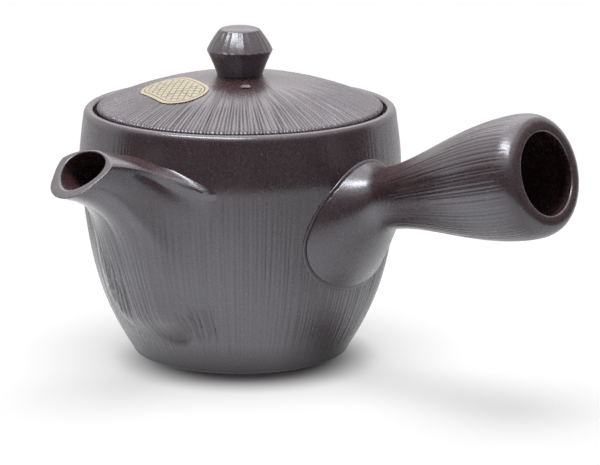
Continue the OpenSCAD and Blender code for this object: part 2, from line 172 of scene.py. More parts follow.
def curve(points, steps, skip=0):
    """Points along a curve in even steps, without its first point if skip is 1."""
    return bezier(points, np.linspace(0, 1, steps + 1)[skip:])


def mixed(a, b, share):
    return a + (b - a) * share


def ramp(low, high, x):
    """Smooth step from 0 at low to 1 at high."""
    t = np.clip((np.asarray(x, float) - low) / (high - low), 0, 1)
    return t * t * (3 - 2 * t)


def window(x, start, full, leave, end):
    """Smooth rise from 0 at start to 1 at full, and fall from 1 at leave to 0 at end."""
    return ramp(start, full, x) * (1 - ramp(leave, end, x))


def rounded(profile, radius, steps=4):
    """An open outline with each inner corner replaced by a small curve."""
    profile = np.asarray(profile, float)
    points = [profile[:1]]
    for before, corner, after in zip(profile, profile[1:], profile[2:]):
        back, ahead = before - corner, after - corner
        cut_back = min(radius, np.linalg.norm(back) * MAX_CORNER_SHARE)
        cut_ahead = min(radius, np.linalg.norm(ahead) * MAX_CORNER_SHARE)
        start = corner + back / np.linalg.norm(back) * cut_back
        end = corner + ahead / np.linalg.norm(ahead) * cut_ahead
        points.append(curve([start, corner, end], steps))
    points.append(profile[-1:])
    return np.concatenate(points)


class Scoring:
    """Lines scored one by one along a turned piece, each with its own place, slant, depth and start."""

    def __init__(self, count, width, starts, slant, wave, middle, least, spread, swell):
        self.step = 2 * math.pi / count
        self.count, self.width, self.wave, self.middle, self.swell = count, width, wave, middle, swell
        self.place = (np.arange(count) + RANDOM.uniform(-spread, spread, count)) * self.step
        self.lean = RANDOM.uniform(-slant, slant, count) * self.step
        self.start = RANDOM.uniform(*starts, count)
        self.depth = RANDOM.uniform(least, 1.0, count)
        self.phase = RANDOM.uniform(0, 2 * math.pi, count)

    def groove(self, angle, along, radius):
        """Depth of the lines, from 0 to 1, at an angle round the axis and a place along it."""
        angle, along, radius = np.broadcast_arrays(angle, along, radius)
        nearest = np.floor(angle / self.step).astype(int)
        turn = along * 2 * math.pi / self.wave
        deepest = np.zeros(angle.shape)
        for offset in (-1, 0, 1, 2):
            line = (nearest + offset) % self.count
            away = angle - self.place[line] - self.lean[line] * (along - self.middle)
            away = (away + math.pi) % (2 * math.pi) - math.pi
            depth = self.depth[line] * ramp(0, LINE_FADE, along - self.start[line])
            depth = depth * (1 - self.swell + self.swell * np.cos(turn + self.phase[line]))
            deepest = np.maximum(deepest, depth * np.exp(-(away * radius / self.width) ** 2))
        return deepest


# Meshes

class Shell:
    """Rings of points and the faces between them, with the depth of the grooves at each point, which sets
    their painted shade.
    """

    def __init__(self):
        self.points = []
        self.grooves = []
        self.faces = []
        self.count = 0

    def add(self, points, groove=0.0):
        points = np.asarray(points, float).reshape(-1, 3)
        first = self.count
        self.points.append(points)
        self.grooves.append(np.broadcast_to(np.ravel(groove), (len(points),)))
        self.count += len(points)
        return np.arange(first, self.count)

    def grid(self, points, groove=0.0, loop=False):
        """Rows of closed rings joined by quads. Gives the first and the last ring."""
        rows, columns = points.shape[:2]
        if np.ndim(groove):
            groove = np.broadcast_to(groove, (rows, columns))
        index = self.add(points, groove).reshape(rows, columns)
        ends = [(index[i], index[i + 1]) for i in range(rows - 1)]
        if loop:
            ends.append((index[-1], index[0]))
        for low, high in ends:
            self.strip(low, high)
        return index[0], index[-1]

    def strip(self, low, high):
        quads = np.stack([low, np.roll(low, -1), np.roll(high, -1), high], axis=1)
        self.faces.extend(quads.tolist())

    def stitch(self, fine, coarse):
        """Triangles between a ring and one with a whole number of times fewer points."""
        share = len(fine) // len(coarse)
        half = share // 2
        for j, corner in enumerate(coarse):
            after = coarse[(j + 1) % len(coarse)]
            turn = [fine[(j * share + k) % len(fine)] for k in range(half + 1 - share, half + 2)]
            self.faces.extend([corner, a, b] for a, b in zip(turn, turn[1:]))
            self.faces.append([corner, turn[-1], after])

    def cap(self, ring, middle):
        centre = int(self.add(middle)[0])
        self.faces.extend([centre, a, b] for a, b in zip(ring.tolist(), np.roll(ring, -1).tolist()))


def spun(profile, angles, sink=0.0):
    """A profile of radii and heights turned round the upright axis, and sunk inwards where asked."""
    profile = np.asarray(profile, float)
    height = np.broadcast_to(profile[:, 1][:, None], (len(profile), len(angles)))
    radius = np.broadcast_to(profile[:, 0][:, None] - sink, height.shape)
    return np.stack([radius * np.cos(angles), radius * np.sin(angles), height], axis=2)


def turn_angles(count):
    return np.arange(count) * 2 * math.pi / count


def finish_mesh(mesh, crease):
    """Outward faces, smooth apart from edges sharper than the crease angle."""
    work = bmesh.new()
    work.from_mesh(mesh)
    bmesh.ops.recalc_face_normals(work, faces=work.faces)
    limit = math.radians(crease)
    for face in work.faces:
        face.smooth = True
    for edge in work.edges:
        edge.smooth = edge.calc_face_angle(0.0) < limit
    work.to_mesh(mesh)
    work.free()


def link_object(name, data):
    thing = bpy.data.objects.new(name, data)
    bpy.context.scene.collection.objects.link(thing)
    return thing


def make_piece(name, shell, body, node, material, crease=38, cutters=()):
    """A piece with its holes cut, that rides on a body and stands for a node."""
    mesh = bpy.data.meshes.new(name)
    mesh.from_pydata((np.concatenate(shell.points) * MM).tolist(), [], shell.faces)
    # The groove values set the clay's painted shade in grooves, strokes and the toe's crescent.
    groove = mesh.attributes.new("groove", "FLOAT", "POINT")
    groove.data.foreach_set("value", np.concatenate(shell.grooves).astype(np.float32))
    finish_mesh(mesh, crease)
    piece = link_object(name, mesh)
    for cutter in cutters:
        cut(piece, cutter, crease)
    piece.data.materials.clear()
    piece.data.materials.append(material)
    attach(piece, body)
    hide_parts(node)
    return piece


def cut(piece, cutter, crease):
    """Takes the cutter's volume out of the piece and removes the cutter."""
    change = piece.modifiers.new("cut", "BOOLEAN")
    change.operation = "DIFFERENCE"
    change.solver = "MANIFOLD"
    change.object = cutter
    seen = piece.evaluated_get(bpy.context.evaluated_depsgraph_get())
    mesh = bpy.data.meshes.new_from_object(seen)
    piece.modifiers.clear()
    old = piece.data
    piece.data = mesh
    mesh.name = piece.name
    bpy.data.meshes.remove(old)
    bpy.data.objects.remove(cutter)
    finish_mesh(mesh, crease)


def rod(middle, direction, radius, length, sides, far_radius=None):
    """A round bar used only to cut a hole."""
    work = bmesh.new()
    turn = Vector((0, 0, 1)).rotation_difference(Vector(direction)).to_matrix().to_4x4()
    bmesh.ops.create_cone(work, cap_ends=True, segments=sides, radius1=radius * MM,
        radius2=(far_radius or radius) * MM, depth=length * MM,
        matrix=Matrix.Translation(Vector(middle) * MM) @ turn)
    mesh = bpy.data.meshes.new("cutter")
    work.to_mesh(mesh)
    work.free()
    return link_object("cutter", mesh)


# Materials

def set_inputs(node, values):
    """Links the inputs that are given another node's output, and sets the others."""
    for key, value in values.items():
        if isinstance(value, bpy.types.NodeSocket):
            node.id_data.links.new(value, node.inputs[key])
        else:
            node.inputs[key].default_value = value


def add_node(tree, kind, values=None, **settings):
    """A shader node with its settings, and with its inputs set or linked."""
    node = tree.nodes.new(kind)
    for key, value in settings.items():
        setattr(node, key, value)
    set_inputs(node, values or {})
    return node


def new_material(name):
    """A material, its node tree and its shader."""
    material = bpy.data.materials.new(name)
    material.use_nodes = True
    return material, material.node_tree, material.node_tree.nodes["Principled BSDF"]


def object_place(tree):
    return add_node(tree, "ShaderNodeTexCoord").outputs["Object"]


def attribute(tree, name):
    return add_node(tree, "ShaderNodeAttribute", attribute_name=name).outputs["Fac"]


def math_node(operation, a, b=0.0):
    return add_node(a.id_data, "ShaderNodeMath", {0: a, 1: b}, operation=operation).outputs[0]


def plus(a, b):
    return math_node("ADD", a, b)


def times(a, b):
    return math_node("MULTIPLY", a, b)


def highest(a, b):
    return math_node("MAXIMUM", a, b)


def range_node(value, low, high, new_low, new_high, kind="LINEAR"):
    node = add_node(value.id_data, "ShaderNodeMapRange", {"Value": value, "From Min": low, "From Max": high,
        "To Min": new_low, "To Max": new_high}, interpolation_type=kind)
    return node.outputs["Result"]


def blend_colours(share, a, b):
    node = add_node(share.id_data, "ShaderNodeMix", data_type="RGBA")
    first, second = [key for key, socket in enumerate(node.inputs) if socket.type == "RGBA"]
    set_inputs(node, {"Factor": share, first: a, second: b})
    return next(socket for socket in node.outputs if socket.type == "RGBA")


def noise(place, scale, detail, rough=0.55):
    return add_node(place.id_data, "ShaderNodeTexNoise",
        {"Vector": place, "Scale": scale, "Detail": detail, "Roughness": rough}).outputs["Fac"]


def relief(height, strength, depth):
    return add_node(height.id_data, "ShaderNodeBump",
        {"Height": height, "Strength": strength, "Distance": depth}).outputs["Normal"]


DARK_CLAY = (0.034, 0.013, 0.014, 1)
LIGHT_CLAY = (0.108, 0.059, 0.064, 1)
# Colour of the painted shade in the grooves and strokes and in the crescent under the toe.
GROOVE_SHADE_CLAY = (0.022, 0.009, 0.010, 1)
SPECK_CLAY = (0.30, 0.27, 0.26, 1)
CLAY_ROUGHNESS = (0.20, 0.34)
GROOVE_ROUGHNESS = 0.1
CLAY_SPECULAR = 0.5
GROOVE_SPECULAR = 0.34
GROOVE_SHARE = 0.8
MOTTLE_SHARE = 0.35
TONE_RANGE = (0.42, 0.95)
ROUGHNESS_RANGE = (0.6, 1.4)
SPECK_SIZES = (0.10, 0.30)
SPECK_PICK = (0.75, 1.0)
SPECK_SHARE = 0.7
GRAIN_HEIGHT = 0.7
SAND_HEIGHT = 0.6


def mica_specks(place):
    tree = place.id_data
    cells = add_node(tree, "ShaderNodeTexVoronoi", {"Vector": place, "Scale": 700.0}).outputs
    size = range_node(cells["Distance"], *SPECK_SIZES, 1.0, 0.0)
    pick = add_node(tree, "ShaderNodeSeparateColor", {"Color": cells["Color"]}).outputs["Red"]
    return times(times(size, range_node(pick, *SPECK_PICK, 0.0, 1.0)), SPECK_SHARE)


def clay_material():
    """Unglazed clay: mottled brown, dark grooves with less gloss as painted shade, pale specks of mica and a
    fine sandy grain.
    """
    material, tree, shader = new_material("combed_clay")
    place = object_place(tree)
    groove = attribute(tree, "groove")
    mottle = noise(place, scale=70.0, detail=5.0, rough=0.6)
    grain = noise(place, scale=1100.0, detail=4.0, rough=0.7)
    sand = noise(place, scale=420.0, detail=3.0)
    tone = range_node(plus(times(mottle, MOTTLE_SHARE), grain), *TONE_RANGE, 0.0, 1.0)
    body = blend_colours(tone, DARK_CLAY, LIGHT_CLAY)
    combed = blend_colours(times(groove, GROOVE_SHARE), body, GROOVE_SHADE_CLAY)
    rough = range_node(plus(grain, mottle), *ROUGHNESS_RANGE, *CLAY_ROUGHNESS)
    height = plus(times(grain, GRAIN_HEIGHT), times(sand, SAND_HEIGHT))
    set_inputs(shader, {
        "Base Color": blend_colours(mica_specks(place), combed, SPECK_CLAY),
        # The darker colour and lower gloss in the grooves are painted shade; the higher roughness there is
        # the clay's own.
        "Roughness": plus(rough, times(groove, GROOVE_ROUGHNESS)),
        "Specular IOR Level": range_node(groove, 0.0, 1.0, CLAY_SPECULAR, GROOVE_SPECULAR),
        "IOR": 2.0,
        "Specular Tint": (0.86, 0.92, 1.0, 1),
        "Normal": relief(height, strength=0.35, depth=0.00012)})
    return material


LATTICE_STEP = 1.7
LATTICE_LINE = 0.3
LATTICE_SLOPE = 1.25
PANEL_HALF = 4.8
DIVIDER_HALF = 0.18
SHELF_HALF = 0.15
BORDER_INSET = 1.3
BORDER_HALF = 0.2
FIELD_INSET = 2.1
PAPER_COLOURS = ((0.52, 0.45, 0.30, 1), (0.70, 0.63, 0.46, 1))
PAPER_ROUGHNESS = (0.42, 0.58)
INK_COLOUR = (0.10, 0.065, 0.04, 1)
INK_SHARES = (0.55, 0.95)


def label_material():
    """Pale gold paper with a printed border, dividing lines and a plain lozenge lattice."""
    material, tree, shader = new_material("gold_paper_print")
    along = attribute(tree, "label_along")
    across = attribute(tree, "label_across")
    inset = attribute(tree, "label_inset")
    fibre = noise(object_place(tree), scale=900.0, detail=4.0)

    def line(value, middle, half):
        off = math_node("ABSOLUTE", math_node("SUBTRACT", value, middle))
        return math_node("LESS_THAN", off, half)

    def lattice(value):
        share = math_node("PINGPONG", value, LATTICE_STEP)
        return math_node("LESS_THAN", share, LATTICE_LINE)

    from_middle = math_node("ABSOLUTE", along)
    dividers = line(from_middle, PANEL_HALF, DIVIDER_HALF)
    beside_panel = math_node("GREATER_THAN", from_middle, PANEL_HALF)
    shelf = times(line(across, 0.0, SHELF_HALF), beside_panel)
    slant = plus(times(across, LATTICE_SLOPE), LABEL_LENGTH * 2)
    weave = highest(lattice(plus(slant, along)), lattice(math_node("SUBTRACT", slant, along)))
    inner = highest(weave, highest(dividers, shelf))
    field = math_node("GREATER_THAN", inset, FIELD_INSET)
    ink = highest(line(inset, BORDER_INSET, BORDER_HALF), times(inner, field))
    worn = times(ink, range_node(fibre, 0.25, 0.55, *INK_SHARES))
    set_inputs(shader, {
        "Base Color": blend_colours(worn, blend_colours(fibre, *PAPER_COLOURS), INK_COLOUR),
        "Roughness": range_node(fibre, 0.3, 0.7, *PAPER_ROUGHNESS),
        "Normal": relief(fibre, strength=0.25, depth=0.00008)})
    return material


# Pot

def side_line(side_steps, band_steps):
    foot = np.array([BASE_RADIUS, BASE_EDGE])
    lower = curve([foot, foot + SIDE_FOOT_REACH, SHOULDER - SIDE_SHOULDER_REACH, SHOULDER], side_steps)
    upper = curve([SHOULDER, SHOULDER + BAND_REACH, (RIM_RADIUS, BAND_TOP)], band_steps, 1)
    return np.concatenate([lower, upper])


SIDE = side_line(400, 80)


def pot_radius(z):
    """Radius of the outside of the pot at height z."""
    return np.interp(z, SIDE[:, 1], SIDE[:, 0])


COMB_DEPTH = 0.24
# Share of painted shade in the comb lines.
COMB_SHADE = 0.5
COMB_FOOT = (2.5, 9.0)
COMB_TOP = (77.0, 79.0)
COMB_SHOULDER = (58.0, 67.0)
COMB_SHOULDER_LOSS = 0.72
WALL_LINES = Scoring(count=215, width=0.34, starts=(-12, 0), slant=0.012, wave=55, middle=40, least=0.5,
    spread=0.28, swell=0.25)


def wall_comb(angle, z):
    """Depth of the upright comb lines on the side of the pot, from 0 to 1."""
    reach = window(z, *COMB_FOOT, *COMB_TOP) * (1 - COMB_SHOULDER_LOSS * ramp(*COMB_SHOULDER, z))
    return WALL_LINES.groove(angle, z, SHOULDER[0]) * reach


TOE_ANGLE = 11.0
TOE_ENDS = (3.0, 11.0)
TOE_HEIGHT = 12.6
TOE_CURVE = 0.02
TOE_DEPTH = 1.4
TOE_LENGTH = 7.0
TOE_END = 2.0
# Painted shade: a dark crescent of groove colour under the toe's scoop.
SHADE_CRESCENT_HEIGHT = 11.2
SHADE_CRESCENT_CURVE = 0.035
SHADE_CRESCENT_WIDTH = 1.7


def toe_share(turn):
    """1 in the middle of the scoop at the lower end of the apron, and 0 beyond its two ends."""
    return 1 - ramp(*TOE_ENDS, np.abs(turn - TOE_ANGLE))


def toe_hollow(turn, z):
    """Depth of the scoop: shallow from above, with a short steep end."""
    height = z - TOE_HEIGHT - TOE_CURVE * (turn - TOE_ANGLE) ** 2
    reach = np.where(height > 0, TOE_LENGTH, TOE_END)
    return TOE_DEPTH * np.exp(-(height / reach) ** 2) * toe_share(turn)


def toe_painted_shade(turn, z):
    """Share of painted shade in the crescent under the scoop."""
    height = z - SHADE_CRESCENT_HEIGHT - SHADE_CRESCENT_CURVE * (turn - TOE_ANGLE) ** 2
    return np.exp(-(height / SHADE_CRESCENT_WIDTH) ** 2) * toe_share(turn)


CHISEL_DEPTH = 0.45
CHISEL_WIDTH = 0.48
NEAR_COUNT = 8
NEAR_SLANT = 2.6
NEAR_FOOT_FADE = 3.0
NEAR_TOP_FADE = 4.0
NEAR_PLACES = np.linspace(15, 28, NEAR_COUNT) + RANDOM.uniform(-0.4, 0.4, NEAR_COUNT)
NEAR_TOPS = RANDOM.uniform(24, 28, NEAR_COUNT)
NEAR_FEET = RANDOM.uniform(10.5, 13.5, NEAR_COUNT)
NEAR_DEPTHS = RANDOM.uniform(0.5, 1.0, NEAR_COUNT)


def near_strokes(turn, z):
    """Depth, from 0 to 1, of the short strokes cut side by side at the near foot of the apron."""
    depth = np.zeros(np.broadcast(turn, z).shape)
    for place, top, foot, deepest in zip(NEAR_PLACES, NEAR_TOPS, NEAR_FEET, NEAR_DEPTHS):
        away = np.radians(turn - place - NEAR_SLANT * (top - z) / (top - foot)) * pot_radius(z)
        fade = window(z, foot, foot + NEAR_FOOT_FADE, top - NEAR_TOP_FADE, top)
        depth = np.maximum(depth, np.exp(-(away / CHISEL_WIDTH) ** 2) * fade * deepest)
    return depth


def groove_shade_share(lines, strokes, turn, z):
    """Share of the groove colour, painted shade: faint in the comb lines, full in the strokes and the
    crescent.
    """
    return np.maximum(np.maximum(COMB_SHADE * lines, strokes), toe_painted_shade(turn, z))


POT_COLUMNS = 1100
POT_LEVELS = np.concatenate([np.linspace(2.2, 7, 4), np.linspace(8, 18, 17),
    np.linspace(19.5, SHOULDER[1], 27), np.linspace(66, BAND_TOP, 7)])
UNDERSIDE_INSET = 3.0
UNDERSIDE_MIDDLE = 6.0
UNDERSIDE_ROUNDING = 1.0
SEAT_ROUNDING = 0.5
SEAT_DROP = 0.3
FLOOR_RINGS = (12.0, 3.0)
THROWING_DEPTH = 0.12
THROWING_PITCH = 4.6
THROWING_START = (9.0, 16.0)
THROWING_FADE = 8.0


def pot_outside():
    foot = [(BASE_RADIUS - BASE_EDGE, 0), (BASE_RADIUS - BASE_EDGE / 3, 0), (BASE_RADIUS, BASE_EDGE)]
    rim_side = (RIM_RADIUS - RIM_SOFTNESS, RIM_HEIGHT - RIM_SOFTNESS)
    rim_top = ((RIM_RADIUS + SEAT_RADIUS) / 2, RIM_HEIGHT)
    rim_inside = (SEAT_RADIUS, RIM_HEIGHT - RIM_INSIDE_ROUNDING)
    return np.concatenate([
        curve(foot, 4),
        np.stack([pot_radius(POT_LEVELS), POT_LEVELS], axis=1),
        curve([(RIM_RADIUS, BAND_TOP), rim_side, rim_top], 8, 1),
        curve([rim_top, (SEAT_RADIUS, RIM_HEIGHT), rim_inside], 5, 1)])


def pot_underside():
    return rounded([(BASE_RADIUS - UNDERSIDE_INSET, 0), (FOOT_HOLLOW_RADIUS, 0),
        (FOOT_HOLLOW_RADIUS - FOOT_HOLLOW_SLOPE, FOOT_HOLLOW_DEPTH),
        (UNDERSIDE_MIDDLE, FOOT_HOLLOW_DEPTH)], UNDERSIDE_ROUNDING)


def pot_inside():
    """Outline from the lid's seat down to the floor, and the depth of the throwing rings along it."""
    bend_height = FLOOR_HEIGHT + FLOOR_BEND_RISE
    bend_radius = float(pot_radius(bend_height)) - POT_WALL
    bend_start = bend_radius - FLOOR_BEND_WIDTH
    ledge_foot = LEDGE_HEIGHT - LEDGE_DROP - (SEAT_RADIUS - LEDGE_RADIUS) * LEDGE_SLOPE
    heights = np.linspace(ledge_foot, bend_height + 1, 26)
    wall = np.stack([pot_radius(heights) - POT_WALL, heights], axis=1)
    seat_top = RIM_HEIGHT - RIM_INSIDE_ROUNDING - SEAT_DROP
    seat = rounded([(SEAT_RADIUS, seat_top), (SEAT_RADIUS, LEDGE_HEIGHT), (LEDGE_RADIUS, LEDGE_HEIGHT),
        (LEDGE_RADIUS, LEDGE_HEIGHT - LEDGE_DROP), wall[0]], SEAT_ROUNDING)
    bend = curve([(bend_radius, bend_height), (bend_start + FLOOR_BEND_REACH, FLOOR_HEIGHT),
        (bend_start, FLOOR_HEIGHT)], 14)
    floor = [(radius, FLOOR_HEIGHT) for radius in FLOOR_RINGS]
    outline = np.concatenate([seat, wall[1:], bend, floor])
    z = outline[:, 1]
    fade = window(z, *THROWING_START, ledge_foot - THROWING_FADE, ledge_foot)
    return outline, THROWING_DEPTH * np.cos(z * 2 * math.pi / THROWING_PITCH) * fade


def build_pot(material):
    angles = turn_angles(POT_COLUMNS)
    outside = pot_outside()
    turn = np.degrees(np.arctan2(np.cos(angles), -np.sin(angles)))[None, :]
    z = outside[:, 1][:, None]
    lines = wall_comb(angles[None, :], z)
    strokes = near_strokes(turn, z)
    sink = COMB_DEPTH * lines + CHISEL_DEPTH * strokes + toe_hollow(turn, z)
    shell = Shell()
    base, rim = shell.grid(spun(outside, angles, sink), groove_shade_share(lines, strokes, turn, z))

    coarse = turn_angles(POT_COLUMNS // COARSER_INSIDE)
    first, last = shell.grid(spun(pot_underside(), coarse))
    shell.stitch(base, first)
    shell.cap(last, (0, 0, FOOT_HOLLOW_DEPTH))
    inside, throwing = pot_inside()
    first, last = shell.grid(spun(inside, coarse, throwing[:, None]))
    shell.stitch(rim, first)
    shell.cap(last, (0, 0, FLOOR_HEIGHT))
    port = rod((0, -SHOULDER[0], PORT_HEIGHT), (0, -1, 0), PORT_RADIUS, length=40, sides=96)
    make_piece("combed_pot", shell, "pot", "pot_body", material, cutters=[port])


# Spout

def turn_of(points):
    """Angle round the pot's axis, 0 at the spout and a quarter turn at the handle."""
    return np.arctan2(points[..., 0], -points[..., 1])


def outward(angle):
    """Level direction away from the pot's axis."""
    return np.stack([np.sin(angle), -np.cos(angle), 0 * angle], axis=-1)


def off_pot(points):
    """Distance of points from the side of the pot, measured level."""
    return np.hypot(points[..., 0], points[..., 1]) - pot_radius(points[..., 2])


def place_on_pot(angle, z, off):
    radius = pot_radius(z) + off
    return np.stack([radius * np.sin(angle), -radius * np.cos(angle), z], axis=-1)


def place_on_mouth(side, rise):
    return np.stack([side, -MOUTH_DISTANCE + rise * math.sin(MOUTH_TILT),
        MOUTH_HEIGHT + rise * math.cos(MOUTH_TILT)], axis=-1)


def mouth_edges(degrees):
    turn = np.radians(degrees)
    across, up = np.cos(turn), np.sin(turn)
    rim = MOUTH_RIM_RADIUS + LIP_LENGTH * np.maximum(0, -up) ** LIP_POWER
    corner = np.maximum(0, 1 - np.abs(degrees - CORNER_ANGLE) / CORNER_SPREAD)
    rim = rim + MOUTH_CORNER * corner ** CORNER_POWER
    edge = place_on_mouth(rim * across, rim * up)
    return edge, place_on_mouth(HOLE_WIDTH * across * (1 + HOLE_FULLNESS * up), HOLE_LENGTH * up)


def root_places(share, low):
    """Angle and height at which each rib meets the pot."""
    half_turn = np.pi * np.minimum(share, 0.5)
    low_height = np.where(share < 0.5, mixed(ROOT_SIDE_HEIGHT, ROOT_BOTTOM_HEIGHT, np.cos(half_turn)),
        mixed(ROOT_SIDE_HEIGHT, WING_TIP_HEIGHT, 2 * share - 1))
    top_height = ROOF_HEIGHT - (ROOF_HEIGHT - WING_TIP_HEIGHT) * (1 - share) ** WING_FALL
    angle = np.where(low, WING_ANGLE * np.sin(half_turn), WING_ANGLE * (1 - share))
    return np.radians(angle), np.where(low, low_height, top_height)


def leaving_ways(share, low, low_place, angle, height):
    """Direction in which each rib leaves the pot."""
    lean = np.arctan(pot_radius(height + 1) - pot_radius(height))
    up = np.stack([np.sin(lean) * np.sin(angle), -np.sin(lean) * np.cos(angle), np.cos(lean)], -1)
    across = np.stack([-np.cos(angle), -np.sin(angle), 0 * angle], -1)
    swing = np.radians(90 - LEAVE_TURN * low_place ** LEAVE_POWER)[:, None]
    low_leave = up * np.sin(swing) + across * np.cos(swing)
    quarter = (np.pi / 2 * share)[:, None]
    top_leave = across * np.cos(quarter) + outward(angle) * np.sin(quarter)
    top_leave[:, 2] += mixed(WING_LEAN, ROOF_LEAN, share)
    return np.where(low[:, None], low_leave, top_leave)


def skin_ribs(share, low, edge, angle, height):
    """Control points of the skin on each rib, from the mouth's edge to the pot."""
    low_place = np.where(low, share, 1.0)
    step = WING_STEP + (ROOT_STEP - WING_STEP) * np.maximum(0, 1 - 2 * low_place) ** STEP_POWER
    finish = place_on_pot(angle, height, ROOT_GAP + step)
    leave = leaving_ways(share, low, low_place, angle, height)
    tube_way = np.array([0, math.cos(TUBE_SLOPE), -math.sin(TUBE_SLOPE)])
    roof_way = np.array([0, math.cos(ROOF_SLOPE), -math.sin(ROOF_SLOPE)])
    way = np.where(low[:, None], tube_way, mixed(tube_way, roof_way, share[:, None]))
    reach = np.where(low[:, None], mixed(UNDER_REACH, WING_REACH, share[:, None]),
        mixed(WING_REACH, ROOF_REACH, share[:, None]))
    return [edge, edge + reach[:, :1] * way, finish + reach[:, 1:] * leave, finish]


def passage_ribs(degrees, hole):
    """Control points of the passage on each rib, and the angle and height of its start."""
    across, up = np.cos(np.radians(degrees)), np.sin(np.radians(degrees))
    height = PORT_HEIGHT + PORT_RADIUS * up
    angle = np.arcsin(PORT_RADIUS * across / pot_radius(height))
    start = place_on_pot(angle, height, ROOT_GAP)
    rise = np.radians(POT_RISE[0] + POT_RISE[1] * up)
    fall = np.radians(MOUTH_FALL[0] + MOUTH_FALL[1] * up)
    pot_reach = (POT_PASSAGE_REACH[0] + POT_PASSAGE_REACH[1] * up)[:, None]
    mouth_reach = (MOUTH_PASSAGE_REACH[0] + MOUTH_PASSAGE_REACH[1] * up)[:, None]
    passage = [start, start + pot_reach * np.stack([0 * rise, -np.cos(rise), np.sin(rise)], -1),
        hole + mouth_reach * np.stack([0 * fall, np.cos(fall), -np.sin(fall)], -1), hole]
    return passage, angle, height


CREST_SHARES = (0.2, 0.6, 0.9, 1.0)
WING_LIFT = 1.2
LIFT_SPREAD = 30.0
LIFT_END = 0.85
WING_FILLET = 0.6
FILLET_REACH = 1.0
FILLET_TURNS = (11.0, 18.0)
FILLET_START = (0.0, 0.06)


def crest(degrees, shares):
    """Height of the crest that runs along the wings."""
    near = np.exp(-np.abs(degrees - CORNER_ANGLE) / CREST_SPREAD)
    return WING_CREST * near * window(shares, *CREST_SHARES)


def wing_lift(degrees, shares):
    """How far the outer edge of the wings is drawn up, so that it runs straight to the tip."""
    near = np.exp(-((degrees - CORNER_ANGLE) / LIFT_SPREAD) ** 2)
    return WING_LIFT * near * np.sin(math.pi * np.minimum(1, shares / LIFT_END))


def wing_fillet(points, top_share):
    """How far the upper side of the wings sweeps up where it meets the pot."""
    turn = np.degrees(np.abs(turn_of(points)))
    near = np.clip(1 - (off_pot(points) - ROOT_GAP - WING_STEP) / FILLET_REACH, 0, 1) ** 2
    return WING_FILLET * near * ramp(*FILLET_TURNS, turn) * ramp(*FILLET_START, top_share)


def eased(points, weight, rounds):
    """A grid of points drawn towards the middle of their neighbours, by a weight from 0 to 1."""
    points = points.copy()
    for _ in range(rounds):
        middle = (points[:-2, 1:-1] + points[2:, 1:-1] + points[1:-1, :-2] + points[1:-1, 2:]) / 4
        points[1:-1, 1:-1] += weight[1:-1, 1:-1, None] * (middle - points[1:-1, 1:-1])
    return points


def swollen(points):
    """The skin pushed out over the middle of the apron."""
    angle, z = turn_of(points), points[..., 2]
    fall = np.maximum(0, (ROOT_SIDE_HEIGHT - z) / (ROOT_SIDE_HEIGHT - ROOT_BOTTOM_HEIGHT))
    width = np.radians(WING_ANGLE) * np.sqrt(np.maximum(0.001, 1 - fall * fall))
    push = APRON_SWELL * (1 - ramp(APRON_FLAT, APRON_END, np.abs(angle) / width))
    push = push * window(z, ROOT_BOTTOM_HEIGHT, ROOT_BOTTOM_HEIGHT + APRON_RISE,
        APRON_FADE_HEIGHT, WING_TIP_HEIGHT)
    return points + push[..., None] * outward(angle)


def unit(vectors):
    return vectors / np.maximum(np.linalg.norm(vectors, axis=-1, keepdims=True), 1e-9)


LOW_RIBS = 240
TOP_RIBS = 60
SKIN_STEPS = 90
SKIN_SHARES = 1 - (1 - np.linspace(0, 1, SKIN_STEPS + 1)[None, :]) ** 1.3
PASSAGE_STEPS = 22
ROUNDING_STEPS = 5
ROOT_STEPS = 4
LIP_ROUNDING = 0.45
HOLE_ROUNDING = 0.7
ROOT_SINK = 0.6
EASED_RIBS = (0.3, 0.5, 0.86, 0.95)
EASED_SHARES = (0.2, 0.4, 0.85, 0.97)
EASED_ROUNDS = 500
SIDE_DIVE = 0.45
TOE_SINK = 0.2
DIVE_RIBS = (0.25, 0.5)
DIVE_TIP = (0.96, 1.0)
DIVE_SHARES = (0.8, 1.0)


def spout_outside(skin, degrees):
    """Points of the skin on each rib, from the rounded edge of the mouth to the pot."""
    speed = 3 * np.linalg.norm(skin[1] - skin[0], axis=-1)
    start = (LIP_ROUNDING / speed)[:, None]
    shares = start + (1 - start) * SKIN_SHARES
    outer = swollen(bezier([point[:, None] for point in skin], shares))
    rib = np.arange(len(degrees))[:, None]
    low_share = np.minimum(1, rib / LOW_RIBS)
    top_share = np.maximum(0, rib - LOW_RIBS) / TOP_RIBS
    outer = eased(outer, window(low_share, *EASED_RIBS) * window(shares, *EASED_SHARES), EASED_ROUNDS)
    dive = mixed(off_pot(outer[:, -1:]) + TOE_SINK, SIDE_DIVE, ramp(*DIVE_RIBS, low_share))
    dive = dive * (1 - ramp(*DIVE_TIP, low_share)) * ramp(*DIVE_SHARES, shares)
    outer[..., 2] += wing_lift(degrees[:, None], shares)
    outer[..., 2] += wing_fillet(outer, top_share)
    push = crest(degrees[:, None], shares) - dive
    return outer + push[..., None] * outward(turn_of(outer))


def rounded_edge(before, corner, after):
    shares = np.linspace(0, 1, ROUNDING_STEPS + 1)[None]
    return bezier([before[:, None], corner[:, None], after[:, None]], shares)


